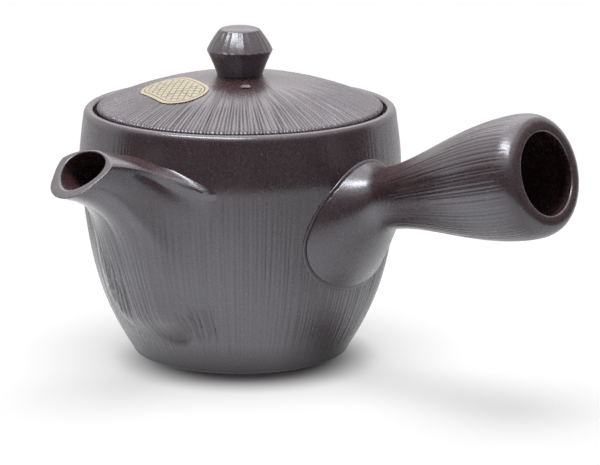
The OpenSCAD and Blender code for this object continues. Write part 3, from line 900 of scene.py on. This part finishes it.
def spout_inside(edge, lip, passage):
    """Points on each rib round the lip, through the passage, and round the hole of the mouth."""
    hole = passage[3]
    face = unit(edge - hole)
    widest = MAX_CORNER_SHARE * np.linalg.norm(edge - hole, axis=-1, keepdims=True)
    speed = 3 * np.linalg.norm(hole - passage[2], axis=-1)
    stop = (1 - HOLE_ROUNDING / speed)[:, None]
    inner = bezier([point[:, None] for point in passage], np.linspace(0, 1, PASSAGE_STEPS + 1)[None] * stop)
    lip_edge = rounded_edge(edge - np.minimum(LIP_ROUNDING, widest) * face, edge, lip)
    hole_edge = rounded_edge(inner[:, -1], hole, hole + np.minimum(HOLE_ROUNDING, widest) * face)
    return lip_edge[:, :-1], inner, hole_edge[:, 1:]


def buried_root(root, port):
    """Points on each rib under the pot's surface, from the foot of the skin to the port."""
    share = np.linspace(0, 1, ROOT_STEPS + 1)[None, :]
    angle, height = [mixed(a[:, None], b[:, None], share) for a, b in zip(root, port)]
    return place_on_pot(angle, height, -ROOT_SINK - TOE_DEPTH * (1 - share))


FAR_COUNT = 8
FAR_WIDTH = 0.006
FAR_PLACES = (0.06, 0.30)
FAR_START_FADE = 0.2
FAR_STOP_FADE = 0.1


def far_strokes(rib_count):
    """Depth, from 0 to 1, of the long strokes cut down the far side of the apron, along its ribs."""
    place = ((rib_count - np.arange(rib_count)) / LOW_RIBS)[:, None]
    depth = np.zeros((rib_count, SKIN_STEPS + 1))
    for k in range(FAR_COUNT):
        middle = mixed(*FAR_PLACES, (k + RANDOM.uniform(0.2, 0.8)) / FAR_COUNT)
        start = RANDOM.uniform(0.42, 0.60)
        stop = RANDOM.uniform(0.88, 0.96)
        fade = window(SKIN_SHARES, start, start + FAR_START_FADE, stop - FAR_STOP_FADE, stop)
        stroke = np.exp(-((place - middle) / FAR_WIDTH) ** 2)
        depth = np.maximum(depth, stroke * fade * RANDOM.uniform(0.5, 1.0))
    return depth


POT_MIDDLE = np.array([0, 0, 45.0])
SPOUT_COMB_REACH = (6.0, 15.0)
SPOUT_COMB_TOP = (50.0, 60.0)
SPOUT_COMB_LOSS = 0.6


def pressed_toe(points):
    """Points with the toe's scoop pressed in, towards the pot's axis."""
    scoop = toe_hollow(np.degrees(turn_of(points)), points[..., 2])
    share = 1 - scoop / np.hypot(points[..., 0], points[..., 1])
    return points * np.stack([share, share, np.ones_like(share)], axis=-1)


def scored_skin(skin):
    """The skin with its lines and strokes cut in, and the painted shade of the grooves."""
    around = np.roll(skin, -1, axis=0) - np.roll(skin, 1, axis=0)
    normal = unit(np.cross(np.gradient(skin, axis=1), around))
    normal *= np.sign(np.sum(normal * (skin - POT_MIDDLE), axis=-1, keepdims=True))
    turn, z = np.degrees(turn_of(skin)), skin[..., 2]
    lines = wall_comb(np.arctan2(skin[..., 1], skin[..., 0]), z)
    lines = lines * (1 - ramp(*SPOUT_COMB_REACH, off_pot(skin)))
    lines = lines * (1 - SPOUT_COMB_LOSS * ramp(*SPOUT_COMB_TOP, z))
    strokes = np.maximum(far_strokes(len(skin)), near_strokes(turn, z))
    sink = COMB_DEPTH * lines + CHISEL_DEPTH * strokes
    return skin - normal * sink[..., None], groove_shade_share(lines, strokes, turn, z)


def spout_half():
    """Points round each rib of one half of the spout, and how many of them come before the skin."""
    share = np.concatenate([np.linspace(0, 1, LOW_RIBS + 1), np.linspace(0, 1, TOP_RIBS + 1)[1:]])
    low = np.arange(len(share)) <= LOW_RIBS
    degrees = np.where(low, mixed(-90, CORNER_ANGLE, share), mixed(CORNER_ANGLE, 90, share))
    edge, hole = mouth_edges(degrees)
    root = root_places(share, low)
    skin = skin_ribs(share, low, edge, *root)
    passage, *port = passage_ribs(degrees, hole)
    outer = spout_outside(skin, degrees)
    lip_edge, inner, hole_edge = spout_inside(edge, outer[:, 0], passage)
    half = np.concatenate([lip_edge, outer, buried_root(root, port), inner, hole_edge], axis=1)
    return half, lip_edge.shape[1]


def build_spout(material):
    half, first = spout_half()
    mirror = half[-2:0:-1] * np.array([-1.0, 1.0, 1.0])
    sections = np.concatenate([half, mirror])
    last = first + SKIN_STEPS + 1
    root_end = last + ROOT_STEPS + 1
    sections[:, first:root_end] = pressed_toe(sections[:, first:root_end])
    groove = np.zeros(sections.shape[:2])
    sections[:, first:last], groove[:, first:last] = scored_skin(sections[:, first:last])
    shell = Shell()
    shell.grid(np.swapaxes(sections, 0, 1), groove.T, loop=True)
    make_piece("winged_spout", shell, "pot", "spout", material)


# Handle

HANDLE_COLUMNS = 480
FOOT_CURVE = [HANDLE_FOOT, HANDLE_FOOT + (-12.4, 16), HANDLE_WAIST - (0, 6.5), HANDLE_WAIST]
GRIP_CURVE = [HANDLE_WAIST, HANDLE_WAIST + (0.2, 14), HANDLE_GRIP - (0, 20), HANDLE_GRIP]
LIP_CURVE = [HANDLE_GRIP, HANDLE_GRIP + (0, 5.5), HANDLE_END + (3.9, 0.3), HANDLE_END]
MOUTH_CURVE = [HANDLE_END, (HANDLE_MOUTH[0], HANDLE_END[1]), HANDLE_MOUTH]
BORE_CURVE = [HANDLE_MOUTH, HANDLE_MOUTH - (0, 4), HANDLE_GRIP + (-HANDLE_WALL, 4),
    HANDLE_GRIP - (HANDLE_WALL, 0)]
LIP_STEPS = 22
HALVINGS = 40
FOOT_EASE = 1.5
HANDLE_LINES = Scoring(count=80, width=0.28, starts=(66, 96), slant=0.006, wave=45, middle=110, least=0.5,
    spread=0.28, swell=0.2)
HANDLE_LINES_END = (120.0, 126.5)
HANDLE_GROOVE_DEPTH = 0.2
HANDLE_SEAM = 0.5
SEAM_PLACE = 0.9
SEAM_WIDTH = 0.3
HANDLE_BEAD = 0.12
BEAD_PLACE = 0.3


def handle_outside(share):
    """Radius and distance along the handle: 0 at the foot, 1 at the waist, 2 at the grip."""
    share = np.asarray(share, float)
    return np.where((share < 1)[..., None], bezier(FOOT_CURVE, np.clip(share, 0, 1)),
        bezier(GRIP_CURVE, np.clip(share - 1, 0, 1)))


def on_handle(radius, along, turn):
    """Place at a radius and a distance along the handle's line, turned round it from its top."""
    up = radius * np.cos(turn)
    x = along * math.cos(HANDLE_RISE) - up * math.sin(HANDLE_RISE)
    z = HANDLE_HEIGHT + along * math.sin(HANDLE_RISE) + up * math.cos(HANDLE_RISE)
    return np.stack(np.broadcast_arrays(x, radius * np.sin(turn), z), axis=-1)


def meeting_share(turn, thinner):
    """Share of the foot's outline at which it comes out of the pot, for each turn round the handle."""
    low, high = np.zeros_like(turn), np.ones_like(turn)
    for _ in range(HALVINGS):
        share = (low + high) / 2
        outline = handle_outside(share)
        place = on_handle(outline[:, 0] - thinner, outline[:, 1], turn)
        inside = np.hypot(place[:, 0], place[:, 1]) < pot_radius(place[:, 2]) + SLIP
        low, high = np.where(inside, share, low), np.where(inside, high, share)
    return high


def all_round(rows):
    """Rows of values repeated for each turn round the handle."""
    return np.repeat(rows[:, None], HANDLE_COLUMNS, axis=1)


def handle_rows(turn):
    """Radius and distance along the handle, out over its lip and back in its bore, and the rows outside."""
    start = meeting_share(turn, 0.0)
    bore_start = meeting_share(turn, HANDLE_WALL)
    ease = np.linspace(0, 1, 43)[:, None] ** FOOT_EASE
    ahead = np.concatenate([start + (1 - start) * ease, all_round(np.linspace(1, 2, 45)[1:])])
    outside = handle_outside(ahead)
    lip = np.concatenate([curve(LIP_CURVE, LIP_STEPS, 1), curve(MOUTH_CURVE, 8, 1), curve(BORE_CURVE, 12, 1)])
    back = np.concatenate([all_round(np.linspace(2, 1, 25)[1:]),
        1 + (bore_start - 1) * np.linspace(0, 1, 17)[1:, None]])
    bore = handle_outside(back) - (HANDLE_WALL, 0)
    return np.concatenate([outside, all_round(lip), bore]), len(outside)


def build_handle(material):
    turn = turn_angles(HANDLE_COLUMNS)
    rows, outside_rows = handle_rows(turn)
    radius, along = rows[..., 0], rows[..., 1]
    row = np.arange(len(rows))[:, None]
    lines = HANDLE_LINES.groove(turn[None, :], along, radius)
    lines = lines * (1 - ramp(*HANDLE_LINES_END, along)) * (row < outside_rows + LIP_STEPS)
    off = np.hypot(along - along[:1], radius - radius[:1])
    seam, bead = [(row < outside_rows) * np.exp(-((off - place) / SEAM_WIDTH) ** 2)
        for place in (SEAM_PLACE, BEAD_PLACE)]
    sink = HANDLE_GROOVE_DEPTH * lines + HANDLE_SEAM * seam - HANDLE_BEAD * bead
    shell = Shell()
    shell.grid(on_handle(radius - sink, along, turn[None, :]), np.maximum(lines, seam), loop=True)
    make_piece("fluted_handle", shell, "pot", "handle", material)


# Lid

LID_COLUMNS = 2000
LID_LINES = Scoring(count=230, width=0.23, starts=(14, 30), slant=0.008, wave=30, middle=40, least=0.75,
    spread=0.22, swell=0.15)
LID_GROOVE_DEPTH = 0.38
LID_LINES_LEAST = 0.3
LID_LINES_FULL = (12.0, 42.0)
LID_SIDE_LINES = (0.75, 0.0)
LID_EDGE_SOFTNESS = 1.2
LID_SIDE = [(LID_RADIUS, LID_EDGE_TOP - 1.6), (LID_RADIUS, LID_SEAT + 0.6)]
VENT_SIDES = 40


def crown(radius):
    """Height of the lid's upper surface at a distance from its middle."""
    return LID_EDGE_TOP + CROWN_RISE * (1 - (np.asarray(radius, float) / LID_RADIUS) ** CROWN_POWER)


def lid_underside():
    ring_bottom = LID_SEAT - LID_RING_DEPTH
    inside = np.linspace(LID_RING_INSIDE, 4, 18)
    under = np.stack([inside, crown(inside) - LID_THICKNESS], axis=1)
    ring = rounded([(LID_RADIUS, LID_SEAT + 0.4), (LID_RADIUS, LID_SEAT), (LID_RING_RADIUS, LID_SEAT),
        (LID_RING_RADIUS, ring_bottom), (LID_RING_INSIDE, ring_bottom), *under[:2]], SEAT_ROUNDING)
    return np.concatenate([ring, under[2:]])


def vent_cutters():
    middle = (VENT_DISTANCE * math.cos(VENT_ANGLE), VENT_DISTANCE * math.sin(VENT_ANGLE),
        float(crown(VENT_DISTANCE)))
    hole = rod(middle, (0, 0, 1), VENT_RADIUS, 20, VENT_SIDES)
    bevel = rod(middle, (0, 0, 1), VENT_RADIUS, 2 * VENT_BEVEL, VENT_SIDES, VENT_RADIUS + 2 * VENT_BEVEL)
    return [hole, bevel]


def build_lid(material):
    angles = turn_angles(LID_COLUMNS)
    radii = np.linspace(5, LID_RADIUS - LID_EDGE_SOFTNESS, 28)
    top = np.stack([radii, crown(radii)], axis=1)
    edge = curve([top[-1], (LID_RADIUS - 0.1, LID_EDGE_TOP),
        (LID_RADIUS, LID_EDGE_TOP - LID_EDGE_ROUNDING)], 6, 1)
    profile = np.concatenate([top, edge, LID_SIDE])
    radius = profile[:, 0][:, None]
    reach = np.concatenate([mixed(LID_LINES_LEAST, 1, ramp(*LID_LINES_FULL, radii)), np.ones(len(edge)),
        LID_SIDE_LINES])
    lines = LID_LINES.groove(angles[None, :], radius, radius) * reach[:, None]
    depth = LID_GROOVE_DEPTH * lines
    steep = np.concatenate([0 * radii, np.linspace(0.3, 1, len(edge)), np.ones(len(LID_SIDE))])[:, None]
    points = spun(profile, angles, depth * steep)
    points[..., 2] -= depth * (1 - steep)
    shell = Shell()
    first, last = shell.grid(points, lines)
    shell.cap(first, (0, 0, float(crown(0))))
    under_first, under_last = shell.grid(spun(lid_underside(), turn_angles(LID_COLUMNS // COARSER_INSIDE)))
    shell.stitch(last, under_first)
    shell.cap(under_last, (0, 0, float(crown(0)) - LID_THICKNESS))
    make_piece("combed_lid", shell, "lid", "lid", material, cutters=vent_cutters())


KNOB_COLUMNS = 312
KNOB_FACETS = 26
KNOB_FACET_DEPTH = 0.22
# Share of painted shade in the hollow middle of each facet.
KNOB_FACET_TONE = 0.25
KNOB_FACET_HEIGHTS = (7.7, 8.6, 13.8, 14.9)


def knob_outline(base):
    foot = np.array([KNOB_FOOT_RADIUS, float(crown(KNOB_FOOT_RADIUS)) + SLIP])
    edge = np.array([KNOB_RADIUS, base + KNOB_EDGE_HEIGHT])
    shoulder = np.array([KNOB_TOP_RADIUS, base + KNOB_HEIGHT - KNOB_DOME])
    neck = curve([foot, foot + (0.4, 1.8), edge], 22)
    cone = curve([edge, edge + (-0.7, 2), shoulder + (1.3, -1.6), shoulder], 22, 1)
    top = curve([shoulder, shoulder + (-1, 0.9), (KNOB_TOP_RADIUS / 2, base + KNOB_HEIGHT),
        (0, base + KNOB_HEIGHT)], 16, 1)
    return np.concatenate([neck, cone, top[:-1]])


def build_knob(material):
    angles = turn_angles(KNOB_COLUMNS)
    base = float(crown(0))
    profile = knob_outline(base)
    facet = angles * KNOB_FACETS / (2 * math.pi)
    depths = RANDOM.uniform(0.35, 1.0, KNOB_FACETS)[facet.astype(int) % KNOB_FACETS]
    flats = (1 - (2 * (facet % 1) - 1) ** 2) * depths
    lines = flats[None, :] * window(profile[:, 1] - base, *KNOB_FACET_HEIGHTS)[:, None]
    shell = Shell()
    first, last = shell.grid(spun(profile, angles, KNOB_FACET_DEPTH * lines), KNOB_FACET_TONE * lines)
    shell.cap(last, (0, 0, base + KNOB_HEIGHT))
    inner = np.linspace(KNOB_FOOT_RADIUS - 1, 1, 4)
    start, end = shell.grid(spun(np.stack([inner, crown(inner) + SLIP], axis=1), angles))
    shell.strip(start, first)
    shell.cap(end, (0, 0, base + SLIP))
    make_piece("cut_knob", shell, "lid", "lid_knob", material, crease=50)


# Label

LABEL_RINGS = 16
LABEL_SIDES = 128
LABEL_FIRST_RING = 0.06
LABEL_END = LABEL_WIDTH / 2
LABEL_REACH = (LABEL_LENGTH - LABEL_WIDTH) / 2
LABEL_MIDDLE = LABEL_DISTANCE * np.array([math.cos(LABEL_ANGLE), math.sin(LABEL_ANGLE)])


def label_outline():
    quarter = LABEL_SIDES // 4
    arc = np.linspace(-math.pi / 2, math.pi / 2, quarter + 1)[:-1]
    straight = np.linspace(LABEL_REACH, -LABEL_REACH, quarter + 1)[:-1]
    along = np.concatenate([LABEL_REACH + LABEL_END * np.cos(arc), straight])
    across = np.concatenate([LABEL_END * np.sin(arc), np.full(quarter, LABEL_END)])
    return np.concatenate([along, -along]), np.concatenate([across, -across])


def mark_print_places(piece):
    """Keeps each point's place along and across the label and in from its edge, for the print."""
    places = np.empty(len(piece.data.vertices) * 3)
    piece.data.vertices.foreach_get("co", places)
    x, y = (places.reshape(-1, 3)[:, :2] / MM - LABEL_MIDDLE).T
    along = x * math.cos(LABEL_TURN) + y * math.sin(LABEL_TURN)
    across = y * math.cos(LABEL_TURN) - x * math.sin(LABEL_TURN)
    inset = LABEL_END - np.hypot(np.maximum(0, np.abs(along) - LABEL_REACH), across)
    for name, values in (("label_along", along), ("label_across", across), ("label_inset", inset)):
        layer = piece.data.attributes.new(name, "FLOAT", "POINT")
        layer.data.foreach_set("value", values.astype(np.float32))


def build_label(material):
    share = np.linspace(LABEL_FIRST_RING, 1, LABEL_RINGS)[:, None]
    u, v = [places * share for places in label_outline()]
    x = LABEL_MIDDLE[0] + u * math.cos(LABEL_TURN) - v * math.sin(LABEL_TURN)
    y = LABEL_MIDDLE[1] + u * math.sin(LABEL_TURN) + v * math.cos(LABEL_TURN)
    z = crown(np.hypot(x, y)) + SLIP
    shell = Shell()
    top_first, top_last = shell.grid(np.stack([x, y, z + LABEL_THICKNESS], axis=2))
    under_first, under_last = shell.grid(np.stack([x, y, z], axis=2)[::-1])
    shell.strip(top_last, under_first)
    heart = float(crown(LABEL_DISTANCE)) + SLIP
    shell.cap(top_first, (*LABEL_MIDDLE, heart + LABEL_THICKNESS))
    shell.cap(under_last, (*LABEL_MIDDLE, heart))
    mark_print_places(make_piece("paper_label", shell, "lid", "lid_label", material, crease=60))


# Stage, light and camera

WHITE = (1, 1, 1, 1)
AZIMUTH = math.radians(40.3)
ELEVATION = math.radians(13.376)
CAMERA_DISTANCE = 0.9875
AIM = Vector((0, 0, 0.04))
AIM_PIXEL = (240.6, 228.8)
IMAGE_SIZE = (600, 465)
FOCAL_PIXELS = 2960.9
SENSOR_WIDTH = 36.0
WORLD_FILL = 0.14
FLAG_DISTANCE = 0.31
FLAG_AZIMUTHS = (-48.0, 142.0)
FLAG_STEPS = 24
FLAG_FOOT = 0.002
FLAG_HEIGHT = 0.23
# Faint pink glow of the flag, rising up its height: a painted reflection.
FLAG_GLOW_COLOUR = (1.0, 0.80, 0.83, 1)
FLAG_GLOW = (0.09, 0.38)
FLOOR_COLOUR = (0.36, 0.36, 0.36, 1)
FLOOR_GLOW = 0.67
FAR_GLOW_RISE = 0.28
FAR_DISTANCES = (0.3, 2.5)
MIRRORED_GLOW = 1.2
MIRRORED_FAR_GLOW = 0.55
# Where the floor's glows are held back: a painted contact shadow round the foot, and painted shade in the
# floor's reflection near the foot and under the handle.
SHADE_PLACE = (0.010, -0.009, 0.0)
SHADE_DISTANCES = (0.024, 0.048)
GLOSS_DISTANCES = (0.031, 0.046)
HANDLE_SHADE_PLACE = (0.046, 0.005, 0.0)
HANDLE_SHADE_DISTANCES = (0.006, 0.029)
HANDLE_SHADE_LEFT = 0.25
FADE_DISTANCES = (0.1, 0.28)
FADE_OVAL = 2.2
FADE_SHIFT = 0.035


def way_from_pot(azimuth, elevation):
    """Direction from the pot, by the angle round it from the spout and the angle up, in radians."""
    return Vector((math.sin(azimuth) * math.cos(elevation), -math.cos(azimuth) * math.cos(elevation),
        math.sin(elevation)))


def rays(tree, *kinds):
    """1 for rays of the kinds named, and 0 for all others."""
    path = add_node(tree, "ShaderNodeLightPath").outputs
    share = path[f"Is {kinds[0]} Ray"]
    for kind in kinds[1:]:
        share = highest(share, path[f"Is {kind} Ray"])
    return share


def oval_distance(place):
    """Distance on the floor from a point left of the pot, counted faster to the sides than to the front."""
    centre = (-FADE_SHIFT * math.cos(AZIMUTH), -FADE_SHIFT * math.sin(AZIMUTH), 0)
    oval = add_node(place.id_data, "ShaderNodeMapping", {"Vector": place, "Location": centre,
        "Rotation": (0, 0, AZIMUTH), "Scale": (1 / FADE_OVAL, 1, 1)}, vector_type="TEXTURE").outputs["Vector"]
    return floor_distance(oval, (0, 0, 0))


def floor_distance(place, centre):
    node = add_node(place.id_data, "ShaderNodeVectorMath", {0: place, 1: centre}, operation="DISTANCE")
    return node.outputs["Value"]


def floor_glow(tree):
    """Glow that lifts the floor to white away from the pot and leaves a painted contact shadow round its
    foot, and another glow as the clay mirrors it: a painted reflection, with painted shade near the foot and
    under the handle.
    """
    place = object_place(tree)
    distance = floor_distance(place, (0, 0, 0))
    shade = floor_distance(place, SHADE_PLACE)
    handle_shade = floor_distance(place, HANDLE_SHADE_PLACE)
    # Glow seen straight on, none close round the foot: a painted contact shadow.
    straight = plus(range_node(shade, *SHADE_DISTANCES, 0.0, FLOOR_GLOW, "SMOOTHSTEP"),
        range_node(distance, *FAR_DISTANCES, 0.0, FAR_GLOW_RISE))
    # Glow that only reflections see: a painted reflection of the floor, dark near the foot and under the
    # handle as painted shade.
    painted_reflection = math_node("MINIMUM", range_node(distance, *GLOSS_DISTANCES, 0.0, MIRRORED_GLOW),
        range_node(oval_distance(place), *FADE_DISTANCES, MIRRORED_GLOW, MIRRORED_FAR_GLOW))
    painted_reflection = times(painted_reflection,
        range_node(handle_shade, *HANDLE_SHADE_DISTANCES, HANDLE_SHADE_LEFT, 1.0))
    return plus(times(rays(tree, "Camera", "Transmission"), straight),
        times(rays(tree, "Glossy"), painted_reflection))


def build_stage():
    mesh = bpy.data.meshes.new("floor")
    work = bmesh.new()
    bmesh.ops.create_grid(work, x_segments=2, y_segments=2, size=6.0)
    work.to_mesh(mesh)
    work.free()
    floor = link_object("floor", mesh)
    material, tree, shader = new_material("white_floor")
    set_inputs(shader, {"Base Color": FLOOR_COLOUR, "Roughness": 0.8,
        "Specular IOR Level": 0.0, "Emission Color": WHITE, "Emission Strength": floor_glow(tree)})
    mesh.materials.append(material)


def build_flag():
    """A dark card on the viewer's side that only reflections see, as studios use for dark shiny things. It
    glows faintly pink, more towards its top, as a painted reflection.
    """
    turns = [math.radians(mixed(*FLAG_AZIMUTHS, i / FLAG_STEPS)) for i in range(FLAG_STEPS + 1)]
    foot = [way_from_pot(turn, 0) * FLAG_DISTANCE for turn in turns]
    corners = [place + Vector((0, 0, height)) for height in (FLAG_FOOT, FLAG_HEIGHT) for place in foot]
    row = len(foot)
    mesh = bpy.data.meshes.new("flag")
    mesh.from_pydata(corners, [], [(i, i + 1, i + row + 1, i + row) for i in range(FLAG_STEPS)])
    flag = link_object("flag", mesh)
    material, tree, shader = new_material("flag_painted_glow")
    height = add_node(tree, "ShaderNodeSeparateXYZ", {"Vector": object_place(tree)}).outputs["Z"]
    set_inputs(shader, {"Base Color": (0.02, 0.02, 0.02, 1), "Roughness": 1.0, "Emission Color": FLAG_GLOW_COLOUR,
        "Emission Strength": range_node(height, 0, FLAG_HEIGHT, *FLAG_GLOW)})
    mesh.materials.append(material)
    flag.visible_camera = False
    flag.visible_shadow = False
    flag.visible_diffuse = False


def build_world():
    """White where it is seen, straight or in a reflection, and a dim even fill for the rest."""
    world = bpy.data.worlds.new("studio")
    world.use_nodes = True
    tree = world.node_tree
    seen = rays(tree, "Glossy", "Transmission", "Camera")
    set_inputs(tree.nodes["Background"], {"Color": WHITE,
        "Strength": range_node(seen, 0, 1, WORLD_FILL, 1.0)})
    bpy.context.scene.world = world


def area_lamp(name, azimuth, elevation, distance, size, power, lights=True, shows=True):
    """A soft lamp turned to the pot that lights surfaces, shows in their gloss, or both."""
    data = bpy.data.lights.new(name, "AREA")
    data.shape = "RECTANGLE"
    data.size, data.size_y = size
    data.energy = power
    lamp = link_object(name, data)
    place = AIM + way_from_pot(math.radians(azimuth), math.radians(elevation)) * distance
    lamp.location = place
    lamp.rotation_euler = (AIM - place).to_track_quat("-Z", "Y").to_euler()
    lamp.visible_diffuse = lights
    lamp.visible_glossy = shows


def build_lights():
    area_lamp("overhead", 220, 86, 1.5, (0.9, 0.9), 22.0, shows=False)
    area_lamp("ceiling_card", 220, 84, 1.5, (1.6, 1.6), 8.0, lights=False)
    area_lamp("front_card", 2, 63, 1.2, (1.0, 0.25), 10.0, lights=False)
    area_lamp("back_card", 215, 45, 1.5, (1.5, 1.0), 6.0, lights=False)
    area_lamp("mouth_card", 270, 48, 1.2, (0.6, 0.5), 0.45, lights=False)


def build_camera():
    data = bpy.data.cameras.new("camera")
    data.sensor_width = SENSOR_WIDTH
    data.lens = FOCAL_PIXELS / IMAGE_SIZE[0] * SENSOR_WIDTH
    data.clip_start = 0.05
    camera = link_object("camera", data)
    back = way_from_pot(AZIMUTH, ELEVATION)
    camera.location = AIM + back * CAMERA_DISTANCE
    right = Vector((0, 0, 1)).cross(back).normalized()
    up = back.cross(right)
    look = -back + right * ((IMAGE_SIZE[0] / 2 - AIM_PIXEL[0]) / FOCAL_PIXELS)
    look -= up * ((IMAGE_SIZE[1] / 2 - AIM_PIXEL[1]) / FOCAL_PIXELS)
    camera.rotation_euler = look.to_track_quat("-Z", "Y").to_euler()
    bpy.context.scene.camera = camera


build_camera()
build_stage()
build_flag()
build_world()
build_lights()
clay = clay_material()
build_pot(clay)
build_spout(clay)
build_handle(clay)
build_lid(clay)
build_knob(clay)
build_label(label_material())

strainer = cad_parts["strainer"]
strainer.data.materials.clear()
strainer.data.materials.append(clay)
bpy.context.scene.view_settings.view_transform = "Standard"
